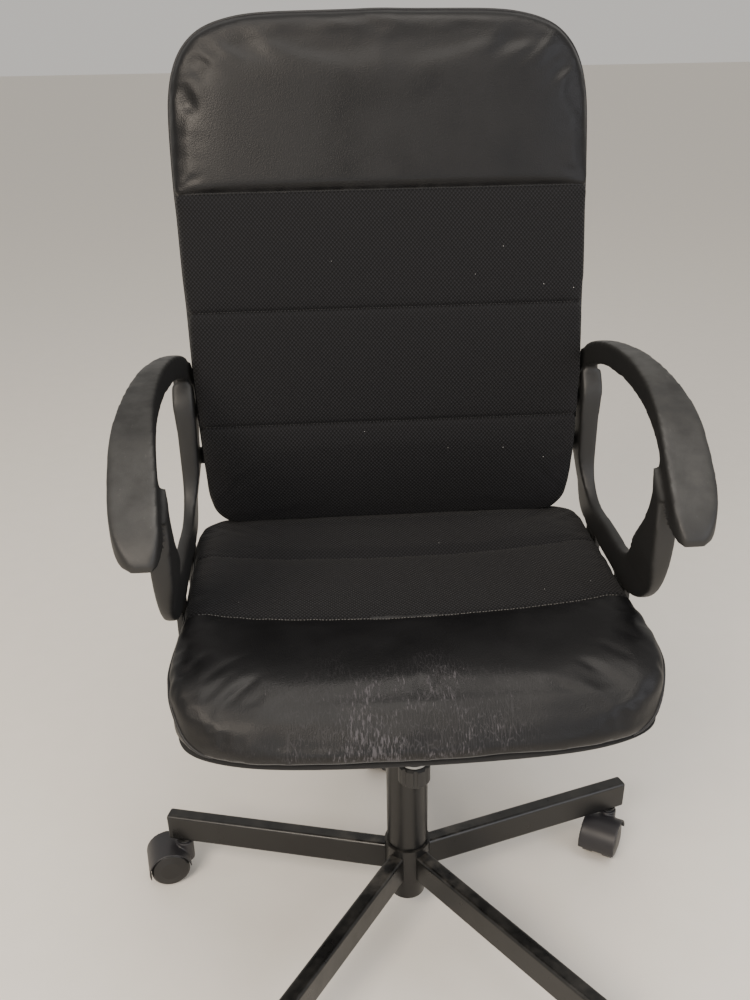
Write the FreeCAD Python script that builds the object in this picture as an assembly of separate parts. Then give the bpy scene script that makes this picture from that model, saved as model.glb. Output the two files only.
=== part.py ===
# Swivel office chair, free-standing, five-star base.
# Units are millimetres. Origin: on the floor, on the swivel axis.
# The sitter faces -Y, the sitter's left is +X, and Z is up.
# Each named piece is one closed solid, or a group of equal separate solids, in its assembled place.

import FreeCAD
import Part
import math
import os

os.makedirs("parts", exist_ok=True)

V = FreeCAD.Vector
UP = V(0, 0, 1)
ORIGIN = V(0, 0, 0)

# ---------------------------------------------------------------- driving dimensions
# five-star base
LEG_COUNT = 5
LEG_FIRST_ANGLE = 18.9
LEG_SLOPE = 1.78
LEG_REACH = 320.0
LEG_WIDTH = 19.0
LEG_HEIGHT = 38.0
LEG_WALL = 1.5
LEG_EDGE_RADIUS = 4.0
LEG_AXIS_HEIGHT = 87.9
STUB_END = 52.0
CAP_LENGTH = 6.0
HUB_RADIUS = 28.0
HUB_TOP = 116.0
HUB_BOTTOM = 66.0

# castors
STEM_REACH = 302.0
STEM_RADIUS = 5.0
WHEEL_RADIUS = 25.0
WHEEL_OFFSET = 23.0
WHEEL_INNER = 6.2
WHEEL_OUTER = 23.4
AXLE_RADIUS = 3.0
TRAIL_ANGLES = (238.0, 250.0, 192.0, 160.0, 200.0)
RUNNING = 0.05

# column and gas lift
COLUMN_RADIUS = 25.0
COLUMN_WALL = 1.5
COLUMN_TOP = 290.0
COLUMN_BOTTOM = 36.0
COLUMN_FOOT_RADIUS = 21.6
CYLINDER_RADIUS = 14.0
CYLINDER_BOTTOM = 86.0
CYLINDER_TOP = 360.0
ROD_RADIUS = 5.0
PISTON_BOTTOM = 208.0

# tilt mechanism
TILT_Y = -45.0
TILT_Z = 352.0
TENSION_Y = -80.0
HOUSING_FRONT = -107.0
HOUSING_BOTTOM = 328.0

# seat
SEAT_BOTTOM = 392.0
SEAT_TOP = 470.0
BOARD_THICKNESS = 12.0
SEAT_REAR = 221.0
SEAT_FRONT = -208.0

# back: height on the front face, and how far that face lies behind the swivel axis
BACK_LINE = (
    (469, 192),
    (540, 184),
    (597, 185),
    (665, 199),
    (729, 216),
    (795, 238),
    (859, 260),
    (940, 280),
    (1000, 291),
    (1051, 299),
)
BACK_FOAM = 38.0
BACK_BOARD = 10.0
BACK_COVER = 3.0

# arms
ARM_FOOT_Y = (25.0, 150.0)
ARM_LUG_Z = (542.0, 602.0)


# ---------------------------------------------------------------- helpers
def save(shape, name):
    shape.exportStep("parts/" + name + ".step")


def box(x0, x1, y0, y1, z0, z1):
    return Part.makeBox(x1 - x0, y1 - y0, z1 - z0, V(x0, y0, z0))


def rod(radius, z0, z1, x=0.0, y=0.0):
    return Part.makeCylinder(radius, z1 - z0, V(x, y, z0), UP)


def bar_x(radius, x0, x1, y, z):
    return Part.makeCylinder(radius, x1 - x0, V(x0, y, z), V(1, 0, 0))


def bar_y(radius, y0, y1, x, z):
    return Part.makeCylinder(radius, y1 - y0, V(x, y0, z), V(0, 1, 0))


def turned(points):
    """Solid of revolution about Z from (radius, height) points."""
    wire = Part.makePolygon([V(r, 0, z) for r, z in points + points[:1]])
    return Part.Face(wire).revolve(ORIGIN, UP, 360)


def spline(points, start=None, end=None):
    """Smooth curve through the points, with the end directions given when they matter."""
    curve = Part.BSplineCurve()
    if start is None:
        curve.interpolate(points)
    else:
        curve.interpolate(points, InitialTangent=start, FinalTangent=end)
    return curve.toShape()


def prism(edges, direction):
    return Part.Face(Part.Wire(edges)).extrude(direction)


def rounded_bar(x0, x1, width, height, radius):
    """Bar along X with rounded long edges, centred on the X axis."""
    solid = box(x0, x1, -width / 2, width / 2, -height / 2, height / 2)
    long_edges = [e for e in solid.Edges if abs(e.tangentAt(e.FirstParameter).x) > 0.9]
    return solid.makeFillet(radius, long_edges)


def rect_tube(x0, x1, width, height, radius, wall):
    outer = rounded_bar(x0, x1, width, height, radius)
    inner = rounded_bar(x0 - 1, x1 + 1, width - 2 * wall, height - 2 * wall, radius - wall)
    return outer.cut(inner)


def mirrored(shape):
    return shape.mirror(ORIGIN, V(1, 0, 0))


def onto_leg(shape, angle):
    """Lay a shape made along X onto the sloping leg axis, then turn it to its leg."""
    placed = shape.copy()
    placed.rotate(ORIGIN, V(0, 1, 0), LEG_SLOPE)
    placed.translate(V(0, 0, LEG_AXIS_HEIGHT))
    placed.rotate(ORIGIN, UP, angle)
    return placed


leg_angles = [LEG_FIRST_ANGLE + 72.0 * i for i in range(LEG_COUNT)]

# ---------------------------------------------------------------- column tube and hub
taper_top = HUB_TOP + 4.0


def column_outer(extra):
    """Outside of the column: straight above the hub, tapering to its foot."""
    return [
        (0, COLUMN_BOTTOM),
        (COLUMN_FOOT_RADIUS + extra, COLUMN_BOTTOM),
        (COLUMN_RADIUS + extra, taper_top),
        (COLUMN_RADIUS + extra, COLUMN_TOP),
        (0, COLUMN_TOP),
    ]


column_bore = [
    (0, COLUMN_BOTTOM + 5.0),
    (COLUMN_FOOT_RADIUS - COLUMN_WALL, COLUMN_BOTTOM + 5.0),
    (COLUMN_RADIUS - COLUMN_WALL, taper_top),
    (COLUMN_RADIUS - COLUMN_WALL, COLUMN_TOP + 1.0),
    (0, COLUMN_TOP + 1.0),
]
column = turned(column_outer(0.0)).cut(turned(column_bore))
column = column.cut(rod(6.0, COLUMN_BOTTOM - 1, COLUMN_BOTTOM + 6))
save(column, "column_tube")

hub = rod(HUB_RADIUS, HUB_BOTTOM, HUB_TOP)
hub_core = rod(HUB_RADIUS - 1.0, HUB_BOTTOM - 20, HUB_TOP + 20)
for angle in leg_angles:
    stub = rect_tube(10, STUB_END, LEG_WIDTH, LEG_HEIGHT, LEG_EDGE_RADIUS, LEG_WALL)
    hub = hub.fuse(onto_leg(stub, angle).cut(hub_core))
hub = hub.cut(turned(column_outer(0.03)))
save(hub, "base_hub")

# ---------------------------------------------------------------- legs, end caps, sockets
tube_end = LEG_REACH - CAP_LENGTH
caps = []
sockets = []
for number, angle in enumerate(leg_angles, 1):
    tube = rect_tube(STUB_END, tube_end, LEG_WIDTH, LEG_HEIGHT, LEG_EDGE_RADIUS, LEG_WALL)
    spigot = rect_tube(
        34, STUB_END + 12, LEG_WIDTH - 2 * LEG_WALL, LEG_HEIGHT - 2 * LEG_WALL,
        LEG_EDGE_RADIUS - LEG_WALL, LEG_WALL,
    )
    leg = onto_leg(tube.fuse(spigot), angle)
    stem_x = STEM_REACH * math.cos(math.radians(angle))
    stem_y = STEM_REACH * math.sin(math.radians(angle))
    leg = leg.cut(rod(7.0, 50, 80, stem_x, stem_y))
    save(leg, "base_leg_%d" % number)

    head = rounded_bar(tube_end, LEG_REACH, LEG_WIDTH, LEG_HEIGHT, LEG_EDGE_RADIUS)
    rim = [e for e in head.Edges if e.BoundBox.XMin > LEG_REACH - 0.01]
    head = head.makeFillet(2.5, rim)
    plug = rounded_bar(
        tube_end - 4, tube_end + 1, LEG_WIDTH - 2 * LEG_WALL - 0.1, LEG_HEIGHT - 2 * LEG_WALL - 0.1,
        LEG_EDGE_RADIUS - LEG_WALL,
    )
    caps.append(onto_leg(head.fuse(plug), angle))

    socket = rod(6.95, 56.3, 93.5).fuse(rod(9.0, 56.3, 59.1))
    socket = socket.cut(rod(STEM_RADIUS + RUNNING, 50, 92))
    socket.translate(V(stem_x, stem_y, 0))
    sockets.append(socket)
save(Part.makeCompound(caps), "leg_end_caps")
save(Part.makeCompound(sockets), "castor_sockets")

# ---------------------------------------------------------------- castors
# Made with the stem on the Z axis and the wheels trailing along +X, then placed.


def castor_parts():
    centre = V(WHEEL_OFFSET, -24.5, WHEEL_RADIUS)
    shell = Part.makeCylinder(28.0, 49.0, centre, V(0, 1, 0))
    shell = shell.cut(box(-60, 80, -30, 30, -10, 17))
    shell = shell.cut(box(-60, -2, -30, 30, -10, 28))
    web = Part.makeCylinder(20.0, 11.0, V(WHEEL_OFFSET, -5.5, WHEEL_RADIUS), V(0, 1, 0))
    neck = box(-9, 22, -5.5, 5.5, 22, 48)
    boss = rod(11.0, 24, 54)
    for side in (-1, 1):
        start = 5.5 if side > 0 else -30.0
        pocket = Part.makeCylinder(26.2, 24.5, V(WHEEL_OFFSET, start, WHEEL_RADIUS), V(0, 1, 0))
        shell = shell.cut(pocket)
        slot = Part.makeCylinder(26.2, 18.8, V(WHEEL_OFFSET, 5.7 * side, WHEEL_RADIUS), V(0, side, 0))
        boss = boss.cut(slot)
    hood = shell.fuse([web, neck, boss])
    hood = hood.cut(rod(STEM_RADIUS, 34, 60))
    hood = hood.cut(bar_y(AXLE_RADIUS, -30, 30, WHEEL_OFFSET, WHEEL_RADIUS))
    stem = rod(STEM_RADIUS, 34, 91).fuse(rod(7.5, 54.0, 55.9))
    axle = bar_y(AXLE_RADIUS, -21.5, 21.5, WHEEL_OFFSET, WHEEL_RADIUS)
    wheels = []
    for side in (-1, 1):
        wheel = turned([
            (0, 0),
            (WHEEL_RADIUS - 1.5, 0),
            (WHEEL_RADIUS, 1.5),
            (WHEEL_RADIUS, 13.0),
            (WHEEL_RADIUS - 2.5, 15.2),
            (13.0, WHEEL_OUTER - WHEEL_INNER),
            (0, WHEEL_OUTER - WHEEL_INNER),
        ])
        wheel = wheel.cut(rod(AXLE_RADIUS + RUNNING, -1, 15.6))
        wheel.rotate(ORIGIN, V(1, 0, 0), -90 * side)
        wheel.translate(V(WHEEL_OFFSET, WHEEL_INNER * side, WHEEL_RADIUS))
        wheels.append(wheel)
    return hood, stem, axle, wheels[1], wheels[0]


castor = castor_parts()
castor_names = ("hood", "stem", "axle", "wheel_left", "wheel_right")
for number, (angle, trail) in enumerate(zip(leg_angles, TRAIL_ANGLES), 1):
    stem_x = STEM_REACH * math.cos(math.radians(angle))
    stem_y = STEM_REACH * math.sin(math.radians(angle))
    for piece, name in zip(castor, castor_names):
        placed = piece.copy()
        placed.rotate(ORIGIN, UP, trail)
        placed.translate(V(stem_x, stem_y, 0))
        save(placed, "castor_%s_%d" % (name, number))

# ---------------------------------------------------------------- gas lift
bush = rod(COLUMN_RADIUS - COLUMN_WALL, 228, COLUMN_TOP).fuse(rod(COLUMN_RADIUS, COLUMN_TOP, COLUMN_TOP + 3))
bush = bush.cut(rod(CYLINDER_RADIUS + RUNNING, 220, 300))
save(bush, "guide_bush")

floor = COLUMN_BOTTOM + 5.0
bearing = rod(11.0, floor, floor + 4).cut(rod(ROD_RADIUS + RUNNING, floor - 1, floor + 5))
save(bearing, "thrust_bearing")

piston = rod(ROD_RADIUS, 32, PISTON_BOTTOM + 10)
piston = piston.fuse(rod(8.0, floor + 4, floor + 9))
piston = piston.fuse(rod(11.5 - RUNNING, PISTON_BOTTOM, PISTON_BOTTOM + 10))
groove = rod(ROD_RADIUS + 1, 33.4, 35.0).cut(rod(ROD_RADIUS - 1.2, 33.4, 35.0))
piston = piston.cut(groove)
save(piston, "piston_rod")

clip = rod(9.0, 33.4, 35.0).cut(rod(ROD_RADIUS - 1.2, 33, 36))
clip = clip.cut(box(-2.6, 2.6, -12, 0, 33, 36))
save(clip, "column_clip")

cylinder = rod(CYLINDER_RADIUS, CYLINDER_BOTTOM, CYLINDER_TOP)
cylinder = cylinder.cut(rod(11.5, CYLINDER_BOTTOM + 8, CYLINDER_TOP - 20))
cylinder = cylinder.cut(rod(ROD_RADIUS + RUNNING, CYLINDER_BOTTOM - 1, CYLINDER_BOTTOM + 9))
cylinder = cylinder.cut(rod(4.0 + RUNNING, CYLINDER_TOP - 21, CYLINDER_TOP + 1))
save(cylinder, "gas_cylinder")

pin = rod(4.0, CYLINDER_TOP - 15, CYLINDER_TOP + 9)
save(pin, "release_pin")

# ---------------------------------------------------------------- tilt mechanism
pan = box(-44, 44, HOUSING_FRONT, 70, HOUSING_BOTTOM, HOUSING_BOTTOM + 3)
for x0 in (-44, 41):
    pan = pan.fuse(box(x0, x0 + 3, HOUSING_FRONT, 70, HOUSING_BOTTOM, 360))
    pan = pan.fuse(box(x0, x0 + 3, HOUSING_FRONT, -85, 360, 388.9))
pan = pan.fuse(box(-44, 44, HOUSING_FRONT, HOUSING_FRONT + 3, HOUSING_BOTTOM, 375))
pan = pan.fuse(rod(21.0, HOUSING_BOTTOM, 358))
pan = pan.cut(rod(CYLINDER_RADIUS, HOUSING_BOTTOM - 1, 362))
pan = pan.cut(bar_x(5.0, -60, 60, TILT_Y, TILT_Z))
pan = pan.cut(box(-6.5, 6.5, TENSION_Y - 15, TENSION_Y + 12, HOUSING_BOTTOM - 1, HOUSING_BOTTOM + 4))

axle = bar_x(5.0, -53, 53, TILT_Y, TILT_Z)
axle = axle.cut(box(-60, -52.9, TILT_Y - 6, TILT_Y + 6, TILT_Z - 6, TILT_Z + 6))
save(axle, "tilt_axle")

plate = box(-90, 90, -120, 100, SEAT_BOTTOM - 3, SEAT_BOTTOM)
for x0 in (-51, 48):
    cheek = box(x0, x0 + 3, TILT_Y - 22, TILT_Y + 22, TILT_Z - 12, SEAT_BOTTOM - 2)
    plate = plate.fuse(cheek)
plate = plate.cut(bar_x(5.0 + RUNNING, -60, 60, TILT_Y, TILT_Z))
plate_bolt_places = [(x, y) for x in (-75, 75) for y in (-105, 85)]
for x, y in plate_bolt_places:
    plate = plate.cut(rod(3.2, SEAT_BOTTOM - 5, SEAT_BOTTOM + 1, x, y))
plate = plate.cut(rod(4.0, SEAT_BOTTOM - 5, SEAT_BOTTOM + 1, 0, TENSION_Y))
save(plate, "seat_plate")

# tension bolt hangs from the seat plate through the front of the housing
bolt = rod(4.0, 282, SEAT_BOTTOM - 1.0, 0, TENSION_Y)
bolt = bolt.fuse(rod(8.0, SEAT_BOTTOM - 8, SEAT_BOTTOM - 3, 0, TENSION_Y))
save(bolt, "tension_bolt")

washer = rod(15.0, 298, 301, 0, TENSION_Y).cut(rod(4.0 + RUNNING, 290, 310, 0, TENSION_Y))
save(washer, "spring_washer")

coil_radius = 12.0
wire_radius = 1.8
helix = Part.makeHelix(6.0, 24.0 - 2 * wire_radius, coil_radius)
section = Part.Wire(Part.makeCircle(wire_radius, V(coil_radius, 0, 0), V(0, 1, 0)))
spring = Part.Wire(helix).makePipeShell([section], True, True)
spring.translate(V(0, TENSION_Y, 302.2 + wire_radius))
save(spring, "tilt_spring")

knob = turned([(0, 272), (15.5, 272), (18.0, 274.5), (18.0, 294.5), (15.5, 297), (0, 297)])
knob.translate(V(0, TENSION_Y, 0))
for i in range(8):
    turn = math.radians(45.0 * i)
    knob = knob.cut(rod(3.5, 270, 300, 20.0 * math.cos(turn), TENSION_Y + 20.0 * math.sin(turn)))
knob = knob.cut(rod(4.0 + RUNNING, 274, 300, 0, TENSION_Y))
save(knob, "tension_knob")

# ---------------------------------------------------------------- height lever
LEVER_X = -25.0
LEVER_Z = 374.5
LEVER_TONGUE = CYLINDER_TOP + 9.5
bracket = box(-33, 7, -7, 7, LEVER_TONGUE, LEVER_TONGUE + 3)
bracket = bracket.fuse(bar_y(4.5, -9, 9, LEVER_X, LEVER_Z))
bracket = bracket.fuse(box(-40, -24, -6, 6, LEVER_Z - 5.2, LEVER_Z + 3))
bracket = bracket.cut(bar_y(2.5 + RUNNING, -30, 30, LEVER_X, LEVER_Z))

# two ears and a pivot pin for the lever, welded to the cylinder socket of the housing
yoke = bar_y(2.5, -12.4, 12.4, LEVER_X, LEVER_Z)
for y0 in (-12.4, 9.4):
    yoke = yoke.fuse(box(-31, -19, y0, y0 + 3, 350, 378.5))
yoke = yoke.fuse(box(-31, -16, -12.4, 12.4, 350, 357)).cut(rod(18.0, 320, 362))
save(pan.fuse(yoke).removeSplitter(), "mechanism_housing")

lever_start = V(-30, 0, LEVER_Z - 1)
lever_end = V(-206, 0, 352)
lever_way = lever_end.sub(lever_start)
lever = Part.makeCylinder(4.0, lever_way.Length, lever_start, lever_way)
bracket = bracket.cut(Part.makeCylinder(4.0, lever_way.Length, lever_start, lever_way))
save(bracket, "lever_bracket")
lever = lever.cut(Part.makeCylinder(2.6 + 2.4, 30, V(LEVER_X, -15, LEVER_Z), V(0, 1, 0)))
save(lever, "height_lever")

way = V(lever_way).normalize()
grip_base = lever_end.sub(V(way).multiply(52))
grip = Part.makeCone(7.0, 11.0, 66, grip_base, way)
grip = grip.cut(Part.makeCylinder(4.0, 52, grip_base, way))
tip = [e for e in grip.Edges if e.BoundBox.Center.x < -214]
grip = grip.makeFillet(2.5, tip)
save(grip, "lever_grip")


# ---------------------------------------------------------------- seat
def seat_outline(inset):
    """Plan of the seat: nearly straight sides, bowed front, rounded corners."""
    back_half = 243.0 - inset
    front_half = 248.0 - inset
    rear = SEAT_REAR - inset
    front = SEAT_FRONT + inset
    corner = 38.0
    rear_edge = Part.makeLine(V(-back_half + corner, rear, 0), V(back_half - corner, rear, 0))
    curve = 0.2929 * corner
    left_corner = Part.Arc(
        V(back_half - corner, rear, 0), V(back_half - curve, rear - curve, 0), V(back_half, rear - corner, 0)
    ).toShape()
    left_side = spline([
        V(back_half, rear - corner, 0),
        V(back_half - 0.6, 60, 0),
        V(back_half - 0.4, -40, 0),
        V(front_half, -122, 0),
        V(front_half - 10, -160, 0),
        V(front_half - 47, front + 19, 0),
        V(120, front + 4, 0),
        V(0, front, 0),
    ], V(0, -1, 0), V(-1, 0, 0))
    right = [mirrored(e) for e in (left_side, left_corner)]
    return [rear_edge, left_corner, left_side] + right


def seat_layer(inset, z0, z1):
    edges = Part.sortEdges(seat_outline(inset))[0]
    return prism(edges, V(0, 0, z1 - z0)).translated(V(0, 0, z0))


seat_block = seat_layer(0.0, SEAT_BOTTOM, SEAT_TOP + 5)
side_line = [V(-260, y, z) for y, z in (
    (235, 463), (190, 465), (100, 468), (0, 470), (-80, 468), (-140, 459), (-180, 442), (-205, 417), (-225, 384),
)]
seat_side = [
    spline(side_line),
    Part.makeLine(side_line[-1], V(-260, -225, 375)),
    Part.makeLine(V(-260, -225, 375), V(-260, 235, 375)),
    Part.makeLine(V(-260, 235, 375), side_line[0]),
]
cushion = seat_block.common(prism(seat_side, V(520, 0, 0)))
pocket = seat_layer(14.0, SEAT_BOTTOM - 1, SEAT_BOTTOM + BOARD_THICKNESS)
cushion = cushion.cut(pocket)
save(cushion, "seat_cushion")

board = seat_layer(14.4, SEAT_BOTTOM, SEAT_BOTTOM + BOARD_THICKNESS)
for x, y in plate_bolt_places:
    board = board.cut(rod(3.0, SEAT_BOTTOM - 1, SEAT_BOTTOM + 11, x, y))
board = board.cut(rod(9.0, SEAT_BOTTOM - 1, SEAT_BOTTOM + 6, 0, TENSION_Y))
FOOT_BOLT_X = 216.0
for side in (-1, 1):
    for y in ARM_FOOT_Y:
        board = board.cut(rod(3.0, SEAT_BOTTOM - 1, SEAT_BOTTOM + 11, FOOT_BOLT_X * side, y))
save(board, "seat_board")

plate_bolts = []
for x, y in plate_bolt_places:
    shank = rod(3.0, SEAT_BOTTOM - 3, SEAT_BOTTOM + 11, x, y)
    plate_bolts.append(shank.fuse(rod(6.0, SEAT_BOTTOM - 7, SEAT_BOTTOM - 3, x, y)))
save(Part.makeCompound(plate_bolts), "seat_plate_bolts")

# thin dust cloth stapled under the seat, open round the plate and the arm feet
dust = seat_layer(4.0, SEAT_BOTTOM - 0.8, SEAT_BOTTOM)
dust = dust.cut(box(-92, 92, -122, 102, 370, 410))
for side in (-1, 1):
    for y in ARM_FOOT_Y:
        x0 = min(190 * side, 260 * side)
        dust = dust.cut(box(x0, x0 + 70, y - 22, y + 22, 370, 410))
save(dust, "seat_dust_cover")


# ---------------------------------------------------------------- back
def back_slab(near, far):
    """Band between two copies of the back's side line, spanning the full width."""
    front = [V(-260, y + near, z) for z, y in BACK_LINE]
    rear = [V(-260, y + far, z) for z, y in BACK_LINE]
    edges = [
        spline(front),
        Part.makeLine(front[-1], rear[-1]),
        spline(rear),
        Part.makeLine(rear[0], front[0]),
    ]
    return prism(edges, V(520, 0, 0))


def back_outline(inset):
    """Front view of the back: slightly narrower at the bottom, large round top corners."""
    low = 469 + inset
    corner = 36.0 - inset * 0.5
    width = 228.0 - inset
    curve = 0.2929 * corner
    bottom = Part.makeLine(V(0, 100, low), V(width - corner, 100, low))
    bend = Part.Arc(
        V(width - corner, 100, low), V(width - curve, 100, low + curve), V(width, 100, low + corner)
    ).toShape()
    side = spline([
        V(width, 100, low + corner),
        V(232 - inset, 100, 597),
        V(238 - inset, 100, 729),
        V(245 - inset, 100, 859),
        V(246 - inset, 100, 935),
        V(240 - inset, 100, 985),
        V(217 - inset * 0.8, 100, 1024 - inset * 0.6),
        V(175, 100, 1043 - inset),
        V(90, 100, 1049.5 - inset),
        V(0, 100, 1050.5 - inset),
    ], V(0, 0, 1), V(-1, 0, 0))
    half = [bottom, bend, side]
    edges = half + [mirrored(e) for e in half]
    return prism(Part.sortEdges(edges)[0], V(0, 300, 0))


back_foam = back_outline(0.0).common(back_slab(0.0, BACK_FOAM))
save(back_foam, "back_cushion")

board_near = BACK_FOAM
board_far = BACK_FOAM + BACK_BOARD
back_panel = back_outline(8.0).common(back_slab(board_near, board_far))
cover = back_outline(2.5).common(back_slab(board_far, board_far + BACK_COVER))


def back_face_y(height):
    for (z0, y0), (z1, y1) in zip(BACK_LINE, BACK_LINE[1:]):
        if z0 <= height <= z1:
            return y0 + (y1 - y0) * (height - z0) / (z1 - z0)
    return BACK_LINE[0][1]


LUG_BOLT_X = 208.0
lug_faces = [max(back_face_y(z - 12), back_face_y(z + 12)) + board_far + BACK_COVER + 0.5 for z in ARM_LUG_Z]
for side in (-1, 1):
    for z, face in zip(ARM_LUG_Z, lug_faces):
        hole = bar_y(3.0, face - 12, face + 5, LUG_BOLT_X * side, z)
        back_panel = back_panel.cut(hole)
        cover = cover.cut(hole)
save(back_panel, "back_board")
save(cover, "back_rear_cover")

# ---------------------------------------------------------------- arms
# Side view of the loop, (distance behind the swivel axis, height).
LOOP_TOP = (
    (-155, 593), (-148, 603), (-125, 622), (-90, 644), (-40, 671), (20, 688), (80, 696), (140, 696),
    (190, 688), (222, 671), (237, 640), (233, 590),
)
LOOP_REAR = ((233, 590), (229, 550), (224, 502), (207, 469), (178, 458))
LOOP_BOTTOM = ((20, 456), (-15, 458), (-45, 470), (-75, 496), (-95, 535), (-101, 580), (-100, 612))
LOOP_WINDOW = (
    (205, 652), (170, 664), (108, 667), (30, 660), (-38, 647), (-70, 628), (-76, 605), (-66, 582),
    (-33, 542), (-6, 508), (22, 492), (60, 490), (110, 490), (162, 493), (186, 512), (192, 550), (191, 605), (199, 635),
)


def in_side_view(points):
    return [V(200, y, z) for y, z in points]


window_curve = Part.BSplineCurve()
window_curve.interpolate(in_side_view(LOOP_WINDOW), PeriodicFlag=True)
window = Part.Face(Part.Wire([window_curve.toShape()])).extrude(V(120, 0, 0))

loop_edges = [
    spline(in_side_view(LOOP_TOP)),
    spline(in_side_view(LOOP_REAR)),
    Part.makeLine(V(200, 178, 458), V(200, 20, 456)),
    spline(in_side_view(LOOP_BOTTOM)),
    spline(in_side_view(((-100, 612), (-120, 598), (-142, 587), (-153, 585)))),
    Part.makeLine(V(200, -153, 585), V(200, -155, 593)),
]
loop = prism(loop_edges, V(120, 0, 0)).cut(window)

# seen from above the pad bows out; seen from the front the strut and rail stay slim
PAD_INNER = (
    (-156, 246), (-142, 240), (-120, 240), (-80, 244), (-30, 250), (35, 255), (105, 254), (160, 249), (205, 242), (250, 237),
)
PAD_OUTER = (
    (250, 248), (215, 254), (185, 263), (150, 273), (105, 282), (40, 290), (-30, 294), (-90, 291), (-125, 285),
    (-148, 273), (-156, 262),
)
pad_plan = [
    spline([V(x, y, 440) for y, x in PAD_INNER]),
    Part.makeLine(V(237, 250, 440), V(248, 250, 440)),
    spline([V(x, y, 440) for y, x in PAD_OUTER]),
    Part.makeLine(V(262, -156, 440), V(246, -156, 440)),
]
pad_top_band = [
    spline([V(200, y, z + 2) for y, z in LOOP_TOP[:10]]),
    Part.makeLine(V(200, 222, 673), V(200, 222, 640)),
    spline([V(200, y, z) for y, z in (
        (222, 640), (190, 654), (140, 666), (80, 667), (20, 660), (-40, 645), (-90, 620), (-125, 596), (-155, 580),
    )]),
    Part.makeLine(V(200, -155, 580), V(200, -155, 595)),
]
pad = loop.common(prism(pad_plan, V(0, 0, 300))).common(prism(pad_top_band, V(120, 0, 0)))

slim_band = [V(x, -200, z) for x, z in (
    (244, 430), (244, 495), (237, 535), (235.5, 590), (236.5, 650), (239, 710), (262, 710), (262, 630),
    (259, 590), (258, 510), (258, 430), (244, 430),
)]
slim = loop.common(Part.Face(Part.makePolygon(slim_band)).extrude(V(0, 500, 0)))
lower_loop = loop.cut(prism(pad_top_band, V(120, 0, 0)))
# no thin web is left between the window's top and the underside of the pad
lower_loop = lower_loop.cut(box(200, 320, -66, 188, 620, 720))
arm = pad.fuse(slim.common(lower_loop))

for y in ARM_FOOT_Y:
    arm = arm.fuse(box(246, 254, y - 20, y + 20, SEAT_BOTTOM - 6, 470))
    arm = arm.fuse(box(196, 254, y - 20, y + 20, SEAT_BOTTOM - 6, SEAT_BOTTOM))
    arm = arm.cut(rod(3.0, SEAT_BOTTOM - 8, SEAT_BOTTOM + 1, FOOT_BOLT_X, y))
for z, face in zip(ARM_LUG_Z, lug_faces):
    arm = arm.fuse(box(239, 252, 215, face + 6, z - 12, z + 12))
    arm = arm.fuse(box(190, 252, face, face + 6, z - 12, z + 12))
    arm = arm.cut(bar_y(3.0, face - 1, face + 7, LUG_BOLT_X, z))
arm = arm.removeSplitter()
save(arm, "armrest_left")
save(mirrored(arm), "armrest_right")

arm_bolts = []
for side in (-1, 1):
    for y in ARM_FOOT_Y:
        x = FOOT_BOLT_X * side
        shank = rod(3.0, SEAT_BOTTOM - 6, SEAT_BOTTOM + 10.5, x, y)
        arm_bolts.append(shank.fuse(rod(6.0, SEAT_BOTTOM - 10, SEAT_BOTTOM - 6, x, y)))
    for z, face in zip(ARM_LUG_Z, lug_faces):
        x = LUG_BOLT_X * side
        shank = bar_y(3.0, face - 11, face + 6, x, z)
        arm_bolts.append(shank.fuse(bar_y(6.0, face + 6, face + 10, x, z)))
save(Part.makeCompound(arm_bolts), "arm_bolts")
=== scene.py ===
"""Swivel office chair: the upholstery, mouldings and finishes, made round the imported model.

Everything is in metres, with Z up, the sitter facing -Y, and the origin on the floor under the column.
"""

import math

import bmesh
import bpy
from mathutils import Matrix, Vector, kdtree, noise
from mathutils.bvhtree import BVHTree


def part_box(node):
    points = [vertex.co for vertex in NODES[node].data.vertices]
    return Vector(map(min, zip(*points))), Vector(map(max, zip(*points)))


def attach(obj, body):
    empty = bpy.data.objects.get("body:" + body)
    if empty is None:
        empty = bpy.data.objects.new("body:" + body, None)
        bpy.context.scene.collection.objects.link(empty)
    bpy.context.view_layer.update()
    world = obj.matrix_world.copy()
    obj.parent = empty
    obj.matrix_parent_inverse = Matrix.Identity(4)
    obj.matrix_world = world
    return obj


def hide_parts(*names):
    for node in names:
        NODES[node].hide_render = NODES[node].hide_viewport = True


bl_info = {
    "name": "Swivel office chair",
    "version": (1, 0, 0),
    "blender": (4, 5, 0),
    "location": "View3D > Sidebar > Chair",
    "description": "Builds the upholstery, armrests, castor hoods and finishes of a swivel office chair",
    "category": "Object",
}

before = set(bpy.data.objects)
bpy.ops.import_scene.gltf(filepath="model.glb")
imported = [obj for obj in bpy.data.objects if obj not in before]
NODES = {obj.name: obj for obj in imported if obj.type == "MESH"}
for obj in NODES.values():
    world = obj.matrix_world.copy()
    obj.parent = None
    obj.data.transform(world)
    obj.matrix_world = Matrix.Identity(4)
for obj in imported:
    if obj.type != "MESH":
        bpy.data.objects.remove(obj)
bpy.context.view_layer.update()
MM = 0.001
CASTORS = range(1, 6)
FLOOR_REACH = 30.0

# where the soft parts are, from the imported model
BACK_LOW, BACK_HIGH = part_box("back_cushion")
SEAT_LOW, SEAT_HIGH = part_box("seat_cushion")
BACK_HEIGHT = BACK_HIGH.z - BACK_LOW.z


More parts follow.
